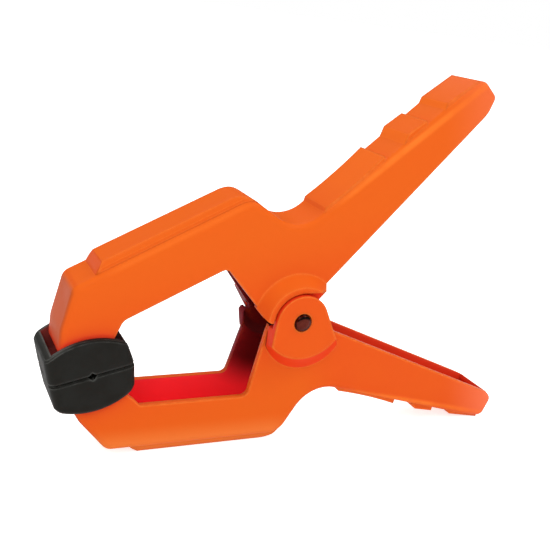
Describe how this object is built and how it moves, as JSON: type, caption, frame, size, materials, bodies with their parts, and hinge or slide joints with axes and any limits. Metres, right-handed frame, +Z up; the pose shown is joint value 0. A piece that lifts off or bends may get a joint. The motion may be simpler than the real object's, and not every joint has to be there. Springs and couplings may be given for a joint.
{
  "type": "spring clamp",
  "caption": "Orange nylon spring clamp with black swivelling rubber pads, a steel pivot pin and a torsion spring.",
  "frame": {"origin": "centre of the bounding box at the height of the surface that the clamp lies on", "axes": "+X along the clamp from the jaws to the handles, +Y across it, +Z up from the lower jaw's panel"},
  "size_m": [0.181, 0.0324, 0.1335],
  "materials": {
    "orange_nylon": "satin",
    "dark_steel": "satin",
    "spring_steel": "satin",
    "black_rubber": "matte"
  },
  "bodies": {
    "lower": {"lower_arm": "orange_nylon", "pivot_pin": "dark_steel", "torsion_spring": "spring_steel", "lower_pad_pin": "spring_steel"},
    "upper": {"upper_arm": "orange_nylon", "upper_pad_pin": "spring_steel"},
    "upper_pad": {"upper_pad": "black_rubber"},
    "lower_pad": {"lower_pad": "black_rubber"}
  },
  "joints": [
    {"name": "arm_pivot", "type": "hinge", "parent": "lower", "child": "upper", "pos_m": [-0.00612, 0, 0.04841], "axis": [0, 1, 0], "range_deg": [0, 60], "stiffness_Nm_per_rad": 1, "springref_deg": -74.48, "deforming": ["torsion_spring"]},
    {"name": "upper_pad_swivel", "type": "hinge", "parent": "upper", "child": "upper_pad", "pos_m": [-0.07748, 0, 0.03927], "axis": [0, 1, 0], "range_deg": [-20, 0]},
    {"name": "lower_pad_swivel", "type": "hinge", "parent": "lower", "child": "lower_pad", "pos_m": [-0.0737, 0, 0.02373], "axis": [0, 1, 0], "range_deg": [0, 20]}
  ],
  "couplings": [
    {"joint": "upper_pad_swivel", "follows": "arm_pivot", "ratio": -0.3333},
    {"joint": "lower_pad_swivel", "follows": "arm_pivot", "ratio": 0.3333}
  ]
}
